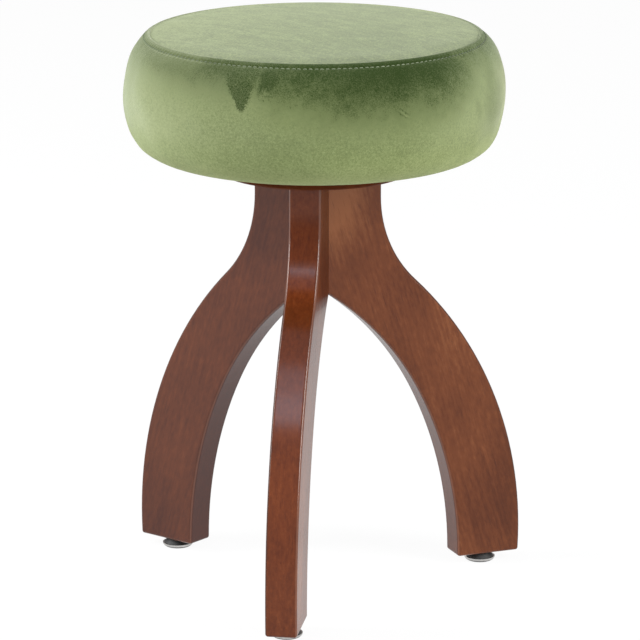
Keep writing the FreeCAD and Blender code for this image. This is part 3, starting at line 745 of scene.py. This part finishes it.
def velvet():
    """Short green pile: pale and dusty where it stands up, deep green in the marks where it lies over and
    where shade is painted.
    """
    finish = new_finish("sage_velvet")
    pile = Pile(finish)
    reach = (pile.x * pile.x + pile.y * pile.y) ** 0.5
    panel = reach.fade(seam_reach - SEAM_BLUR, seam_reach + SEAM_BLUR) * pile.z.ease(0.44, 0.45)

    # The marks: the pile's lay, with painted shade and a painted highlight among them.
    marks = dark_patch(pile)
    for other in (dark_wedge, swept_pile, painted_shade_strip, dark_blot):
        marks = marks.most(other(pile))
    marks = marks + painted_fold(pile)
    dark = marks * (1 + (pile.tuft * 1.9 + pile.fibre * 3.5) * (1.32 - marks)) * (1 - panel)
    # The low-sheen lay also darkens the bottom of the band, as painted shade.
    lying_and_shaded = dark.most(panel * 0.96).most(pile.z.fade(0.380, 0.428) * 0.88)

    pale = finish.ramp(panel * panel_nap(finish, pile) + (1 - panel) * band_nap_and_light(pile),
                       [(0.0, (0.056, 0.085, 0.021)), (0.4, (0.148, 0.192, 0.060)),
                        (0.72, (0.252, 0.306, 0.108)), (1.0, (0.360, 0.412, 0.168))])
    # Painted sheen: the panel's colour greyed toward a pale dusty tint.
    pale = finish.tint(panel * 0.45, pale, (0.344, 0.364, 0.282))
    deep = finish.ramp(0.5 + pile.mottle * 0.5,
                       [(0.0, (0.006, 0.015, 0.002)), (0.5, (0.024, 0.051, 0.006)),
                        (1.0, (0.108, 0.162, 0.044))])
    # Deep green where the pile lies over, and as painted shade.
    pressed = finish.tint(dark / lying_and_shaded.most(0.01), pale, deep)

    by_stitches = abs(pile.z - STITCH_HEIGHT).fade(0.8 * MM, 3.2 * MM) * (1 - panel)
    gather = (pile.angle * STITCHES).sine() * by_stitches
    relief = finish.relief(pile.fibre * 0.5 + pile.tuft * 0.7 + gather * 0.5, 0.5 * MM, 0.4)
    lifted = pile_shader(finish, pale, relief, 0.80, (0.94, 0.95, 0.80))
    flattened_and_shaded = pile_shader(finish, pressed, relief, 0.15, (0.88, 0.93, 0.66))
    shader = finish.add("MixShader", {}, {0: lying_and_shaded, 1: lifted, 2: flattened_and_shaded})
    finish.add("OutputMaterial", {}, {"Surface": shader})
    return finish.owner


def thread():
    """Pale green twisted sewing thread, with painted shade darkening it toward both flanks of the seat."""
    finish = new_finish("sewing_thread")
    x, y, z = finish.split(finish.place())
    angle = x.angle_from(-y)
    ply = (angle * 1200 + z * 5200).sine() * 0.5 + 0.5
    colour = finish.tint(ply, (0.15, 0.19, 0.09), (0.30, 0.35, 0.20))
    # Painted shade: the thread is darkened on the right flank, then on the left flank.
    colour = finish.tint(angle.ease(0.82, 1.05), colour, (0.060, 0.085, 0.030))
    colour = finish.tint((-angle).ease(0.16, 0.46), colour, (0.125, 0.165, 0.070))
    return finish.coat_with({"Base Color": colour, "Roughness": 0.6, "Sheen Weight": 0.3,
                             "Normal": finish.relief(ply, 0.15 * MM, 0.6)})


def stained_wood(name, turn, lean, seed, look):
    """Reddish brown stain under satin lacquer, with the grain straight along each board.

    In its look, warmth lightens the whole board, painted_sheen greys it as a painted sheen, and lacquer is
    the weight of its coat. The rims say how strongly a painted dark reflection lines the outer rounded
    edges, left and right, up to rim_top. The narrow edges have less lacquer in each thin stretch: the two
    heights between which it thins, the two between which it comes back, and by how much. The spots are
    where the stain took less, or more, and the front leg's pale spot 0.148 m high is painted sheen: their
    distance from the axis, height and strength.
    """
    finish = new_finish(name)
    spot = finish.turn(finish.place(), "Z_AXIS", -turn)
    out, up = finish.split(spot)[::2]
    along = finish.shift(finish.turn(spot, "Y_AXIS", lean), (seed, seed * 0.7, seed * 0.4))
    figure = finish.speckle(finish.stretch(along, (1, 1, 0.08)), 60, 4, 0.55, 0.5)
    streak = finish.speckle(finish.stretch(along, (1, 1, 0.04)), 380, 3, 0.6)
    pore = finish.speckle(finish.stretch(along, (1, 1, 0.06)), 950, 2, 0.5).ease(0.60, 0.74)
    blotch = finish.speckle(along, 15, 3, 0.5)
    fleck = finish.speckle(finish.stretch(along, (1, 1, 0.35)), 330, 2, 0.6)

    pale = 0.0
    for reach, height, strength in look["spots"]:
        spread = ((out - reach) * (out - reach) * 1.6 + (up - height) * (up - height) * 0.5) ** 0.5
        pale = pale + spread.fade(0.006, 0.052) * strength

    outward, rightward = finish.split(finish.turn(finish.place("Normal"), "Z_AXIS", -turn))[:2]
    side = abs(rightward)
    edge = side.fade(0.25, 0.60)
    long_grain = 0.065 + figure * 0.25 + streak * 0.28
    granular = 0.18 + finish.speckle(along, 300, 3, 0.7) * 0.34
    tone = long_grain + edge * 0.6 * (granular - long_grain) + blotch * 0.30 + fleck * 0.36
    tone = tone - 0.16 + look["warmth"] + pale
    colour = finish.ramp(tone, [(0.20, (0.062, 0.013, 0.003)), (0.45, (0.116, 0.028, 0.007)),
                                (0.60, (0.165, 0.044, 0.012)), (0.90, (0.300, 0.104, 0.036))])
    colour = finish.tint(pore * 0.40, colour, (0.045, 0.012, 0.007))
    colour = finish.tint(edge, colour, finish.stretch(colour, (0.98, 0.78, 0.60)))
    colour = finish.tint(look["painted_sheen"], colour, (0.130, 0.105, 0.120))

    # Painted shade: the inner faces of the narrow edges are darkened.
    inner = (-outward).ease(0.15, 0.55) * edge
    colour = finish.tint(inner * 0.60, colour, (0.045, 0.022, 0.019))
    rounded = side.ease(0.30, 0.65) * side.fade(0.75, 0.97)
    left_rim, right_rim = look["rims"]
    rims = (-rightward).ease(0.0, 0.3) * left_rim + rightward.ease(0.0, 0.3) * right_rim
    gathered = rounded * outward.ease(0.10, 0.40) * rims * (up - look["rim_top"]).fade(-0.02, 0.02)
    # The rounded edges are paler: stain worn thin there, and a painted highlight; none on the cap, which
    # has no lacquer.
    colour = finish.tint(rounded * 0.5 * look["lacquer"], colour, (0.290, 0.110, 0.060))
    # Painted dark reflection along the outer rounded edges, as far as the rims say.
    colour = finish.tint(gathered, colour, (0.016, 0.008, 0.008))

    surface = {
        "Base Color": colour,
        "Roughness": 0.34 + streak * 0.12 + pore * 0.15,
        "Normal": finish.relief(streak * 0.5 - pore * 0.8, 0.10 * MM, 0.4),
        "Specular IOR Level": 0.04,
    }
    if look["lacquer"]:
        coat = (rounded + 1) * look["lacquer"] - gathered * 0.90
        for low, full, fading, high, strength in look["thin"]:
            coat = coat - up.ease(low, full) * up.fade(fading, high) * edge * strength
        surface["Coat Weight"] = coat
        surface["Coat Roughness"] = 0.15
        surface["Coat IOR"] = 1.5
    return finish.coat_with(surface)


def plated(name, pale, deep, rough, brush, painted_shade_height=0.0):
    """Plated steel: fine rubbed lines, cloudy tarnish and, up to a given height, a foot darkened as
    painted shade.
    """
    finish = new_finish(name)
    spot = finish.place()
    line = finish.speckle(finish.stretch(spot, brush), 1, 3, 0.6)
    cloud = finish.speckle(spot, 120, 3, 0.6)
    colour = finish.tint((cloud * 0.7 + line * 0.5 - 0.1).ease(0.25, 0.8), deep, pale)
    # Painted shade: up to the given height the foot is dark, matt and less metallic.
    low = finish.split(spot)[2].fade(0.5 * painted_shade_height, painted_shade_height) if painted_shade_height else 0.0
    colour = finish.tint(low, colour, (0.05, 0.05, 0.05))
    roughness = rough + line * 0.14 + cloud * 0.1 + low * 0.6
    return finish.coat_with({"Base Color": colour, "Metallic": 1 - low, "Roughness": roughness,
                             "Normal": finish.relief(line, 0.04 * MM, 0.35)})


def moulded(name, pale, deep, rough, grain):
    """Moulded rubber or plastic with a fine matt grain."""
    finish = new_finish(name)
    spot = finish.place()
    fine = finish.speckle(spot, grain, 3, 0.6)
    cloud = finish.speckle(spot, 90, 2, 0.5)
    colour = finish.tint((cloud * 0.8 + fine * 0.3 - 0.1).ease(0.2, 0.8), deep, pale)
    return finish.coat_with({"Base Color": colour, "Roughness": rough + fine * 0.2,
                             "Normal": finish.relief(fine, 0.1 * MM, 0.4)})


def raw_wood(name, pale, deep, ply):
    """Bare wood: long grain and, where it is a board, glued pairs of plies of a given thickness."""
    finish = new_finish(name)
    spot = finish.place()
    grain = finish.speckle(finish.stretch(spot, (16, 260, 260)), 1, 4, 0.6, 0.4)
    fine = finish.speckle(finish.stretch(spot, (60, 1400, 1400)), 1, 2, 0.6)
    tone = grain * 0.7 + fine * 0.4
    if ply:
        height = finish.split(spot)[2] - board_low.z
        layer = (height * (2 * math.pi / ply)).sine().ease(-0.4, 0.4)
        tone = tone * 0.8 + layer * 0.25
    colour = finish.ramp(tone, [(0.25, deep), (0.85, pale)])
    return finish.coat_with({"Base Color": colour, "Roughness": 0.62 + fine * 0.2,
                             "Normal": finish.relief(fine, 0.1 * MM, 0.4)})


DOT_RATE = 2100


def black_cloth():
    """Thin black non-woven cloth, with pressed dots."""
    finish = new_finish("dust_cloth_black")
    spot = finish.place()
    x, y = finish.split(spot)[:2]
    dots = (x * DOT_RATE).sine() * (y * DOT_RATE).sine()
    fibre = finish.speckle(spot, 1100, 3, 0.7)
    colour = finish.tint((fibre + dots * 0.15).ease(0.2, 0.8), (0.012, 0.012, 0.013), (0.05, 0.05, 0.052))
    return finish.coat_with({"Base Color": colour, "Roughness": 0.85, "Sheen Weight": 0.15,
                             "Normal": finish.relief(fibre * 0.6 + dots * 0.4, 0.12 * MM, 0.5)})


def foam():
    """Pale open-cell foam."""
    finish = new_finish("cream_foam")
    cell = finish.speckle(finish.place(), 700, 2, 0.6)
    colour = finish.tint(cell.ease(0.3, 0.7), (0.55, 0.50, 0.34), (0.80, 0.74, 0.54))
    return finish.coat_with({"Base Color": colour, "Roughness": 0.9,
                             "Normal": finish.relief(cell, 0.3 * MM, 0.6)})


def dress(made, finish):
    """Gives an object one finish."""
    made.data.materials.clear()
    made.data.materials.append(finish)


LEG_TURNS = {"front": math.radians(-90), "right": math.radians(30), "left": math.radians(150)}
GRAIN_LEAN = math.radians(17)
CAP_TURN = 0.3
CAP_LEAN = math.radians(90)
CAP_SEED = 2.6
GLIDE_PAINTED_SHADE = 2.2 * MM
PLY_PAIR = 3 * MM
WOOD_LOOKS = {
    "front": {
        "warmth": -0.08, "painted_sheen": 0.0, "rims": (0.8, 0.0), "rim_top": 0.27, "lacquer": 0.5,
        "thin": [(0.292, 0.298, 0.320, 0.338, 0.28), (0.258, 0.272, 0.281, 0.292, 0.34)],
        # The pale spot 0.148 m high is painted sheen.
        "spots": [(0.172, 0.034, 0.18), (0.164, 0.092, 0.14), (0.150, 0.148, 0.10), (0.080, 0.300, 0.10),
                  (0.095, 0.225, -0.10), (0.034, 0.288, -0.30), (0.066, 0.356, 0.11)]},
    "right": {
        "warmth": 0.04, "painted_sheen": 0.0, "rims": (0.8, 0.8), "rim_top": 0.4, "lacquer": 0.5, "thin": [],
        "spots": [(0.014, 0.342, 0.40), (0.110, 0.205, 0.09), (0.165, 0.060, -0.12)]},
    "left": {
        "warmth": -0.13, "painted_sheen": 0.08, "rims": (0.8, 0.8), "rim_top": 0.4, "lacquer": 0.5, "thin": [],
        "spots": [(0.150, 0.180, 0.08), (0.040, 0.310, -0.08), (0.165, 0.022, -0.11)]},
    # The cap's darker tone is painted shade from the cushion above it.
    "cap": {
        "warmth": -0.14, "painted_sheen": 0.0, "rims": (0.0, 0.0), "rim_top": 0.4, "lacquer": 0.0, "thin": [],
        "spots": []},
}


def dress_solids():
    """Gives every CAD node its finish, and returns the finishes by slot."""
    shared = {
        "zinc_steel": plated("zinc_plate", (0.62, 0.63, 0.64), (0.42, 0.43, 0.45), 0.30, (60, 900, 900)),
        "nickel": plated("nickel_plate", (0.58, 0.57, 0.55), (0.40, 0.39, 0.38), 0.14, (400, 400, 900),
                         GLIDE_PAINTED_SHADE),
        "ball_steel": plated("ball_steel_polish", (0.72, 0.72, 0.73), (0.55, 0.55, 0.57), 0.08,
                             (300, 300, 300)),
        "rubber": moulded("black_rubber", (0.035, 0.034, 0.033), (0.014, 0.014, 0.014), 0.55, 900),
        "cage_plastic": moulded("cage_plastic_white", (0.74, 0.73, 0.68), (0.60, 0.59, 0.54), 0.40, 700),
        "plywood": raw_wood("birch_ply", (0.56, 0.39, 0.22), (0.36, 0.22, 0.11), PLY_PAIR),
        "dowel_wood": raw_wood("beech_dowel", (0.55, 0.38, 0.22), (0.38, 0.24, 0.12), 0),
        "foam": foam(),
        "dust_cloth": black_cloth(),
        "velvet": velvet(),
    }
    for part in frame["record"]["subparts"]:
        slot = part["material_slot"]
        if slot in shared:
            dress(nodes[part["node"]], shared[slot])
    for seed, (side, turn) in enumerate(LEG_TURNS.items()):
        wood = stained_wood("leg_wood_" + side, turn, GRAIN_LEAN, 0.37 + 0.61 * seed, WOOD_LOOKS[side])
        dress(nodes["leg_" + side], wood)
    dress(nodes["leg_cap"], stained_wood("cap_wood", CAP_TURN, CAP_LEAN, CAP_SEED, WOOD_LOOKS["cap"]))
    return shared


def dress_cushion(shared):
    """Makes the cushion, its stitching and the cloth under it, gives each its finish and attaches it to
    the seat.
    """
    cushion, stitch_line, stitch_row = make_cushion()
    dress(cushion, shared["velvet"])
    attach(cushion, "seat")
    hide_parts("cover_top_panel", "cover_side_band", "seat_foam")
    stitching = make_stitching(stitch_line, stitch_row)
    dress(stitching, thread())
    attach(stitching, "seat")
    cloth, width, area = make_dust_cloth()
    dress(cloth, shared["dust_cloth"])
    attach(cloth, "seat")
    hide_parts("dust_cover")


# Studio
def seen_directly(finish):
    """1 for rays that show the background itself: to the eye, in gloss and through glass."""
    ray = finish.add("LightPath", {}, {}, "Is Camera Ray").socket.node.outputs
    return (Shade(finish, ray["Is Camera Ray"]) + Shade(finish, ray["Is Glossy Ray"])
            + Shade(finish, ray["Is Transmission Ray"])).least(1.0)


FLOOR_HALF = 9.0
FLOOR_CELLS = 12
FLOOR_DROP = 0.05 * MM


def lay_floor():
    """A white floor that keeps the stool's shadow."""
    wide = FLOOR_CELLS + 1
    lines = [FLOOR_HALF * (2 * n / FLOOR_CELLS - 1) for n in range(wide)]
    points = [(x, y, -FLOOR_DROP) for y in lines for x in lines]
    faces = [(j * wide + i, j * wide + i + 1, (j + 1) * wide + i + 1, (j + 1) * wide + i)
             for j in range(FLOOR_CELLS) for i in range(FLOOR_CELLS)]
    floor = new_object("studio_floor", points, faces)
    finish = new_finish("white_floor")
    matt = finish.add("BsdfDiffuse", {}, {"Color": (0.70, 0.70, 0.70, 1)})
    white = finish.add("Emission", {}, {"Color": (1, 1, 1, 1), "Strength": 1.06})
    shown = finish.add("MixShader", {}, {0: seen_directly(finish) * 0.88, 1: matt, 2: white})
    finish.add("OutputMaterial", {}, {"Surface": shown})
    dress(floor, finish.owner)


# Lamps: angle from the front, to the right, and rise, in degrees; size in metres; power in watts
LAMP_AWAY = 2.9
LAMP_TARGET = Vector((0, 0, 0.25))
WHITE = (1, 1, 1)
WINDOW_BLUE = (0.58, 0.78, 1.0)
LAMPS = {
    "key_lamp": {"side": -78, "rise": 25, "size": (1.3, 2.2), "watts": 98, "colour": WHITE},
    "fill_lamp": {"side": 68, "rise": 26, "size": (1.3, 2.2), "watts": 72, "colour": WHITE},
    "window_low": {"side": -9, "rise": 41.0, "size": (0.9, 0.47), "watts": 6.6, "colour": WINDOW_BLUE},
    "window_high": {"side": -9, "rise": 50.3, "size": (0.9, 0.47), "watts": 3.7, "colour": WINDOW_BLUE},
}


def hang_lamp(name, side, rise, size, watts, colour):
    """A soft lamp that faces the stool."""
    slope = math.radians(rise)
    offset = polar(math.radians(side), LAMP_AWAY * math.cos(slope), LAMP_AWAY * math.sin(slope))
    light = bpy.data.lights.new(name, "AREA")
    light.shape = "RECTANGLE"
    light.size, light.size_y = size
    light.energy = watts
    light.color = colour
    lamp = bpy.data.objects.new(name, light)
    lamp.location = LAMP_TARGET + offset
    lamp.rotation_euler = (-offset).to_track_quat("-Z", "Y").to_euler()
    bpy.context.scene.collection.objects.link(lamp)


def light_studio():
    """A white world, dimmer as a light than it looks, and the lamps."""
    world = bpy.data.worlds.new("studio")
    bpy.context.scene.world = world
    finish = Finish(world)
    strength = 0.32 + seen_directly(finish) * 0.68
    sky = finish.add("Background", {}, {"Color": (1, 1, 1, 1), "Strength": strength})
    finish.add("OutputWorld", {}, {"Surface": sky})
    for name, lamp in LAMPS.items():
        hang_lamp(name, **lamp)


CAMERA_TURN = math.radians(8.625)
CAMERA_AWAY = 3.492
CAMERA_HEIGHT = 1.134
CAMERA_TILT = math.radians(14.524)
CAMERA_YAW = 0.00128
LENS = 240.26


def stand_camera():
    """The camera where the photograph was taken from."""
    eye = bpy.data.cameras.new("photo_camera")
    eye.lens = LENS
    eye.sensor_width = 36
    eye.clip_end = 100
    camera = bpy.data.objects.new("photo_camera", eye)
    camera.location = polar(CAMERA_TURN, CAMERA_AWAY, CAMERA_HEIGHT)
    camera.rotation_euler = (math.pi / 2 - CAMERA_TILT, 0, CAMERA_TURN - CAMERA_YAW)
    bpy.context.scene.collection.objects.link(camera)
    bpy.context.scene.camera = camera


finishes = dress_solids()
dress_cushion(finishes)
lay_floor()
light_studio()
stand_camera()
bpy.context.scene.view_settings.view_transform = "Standard"
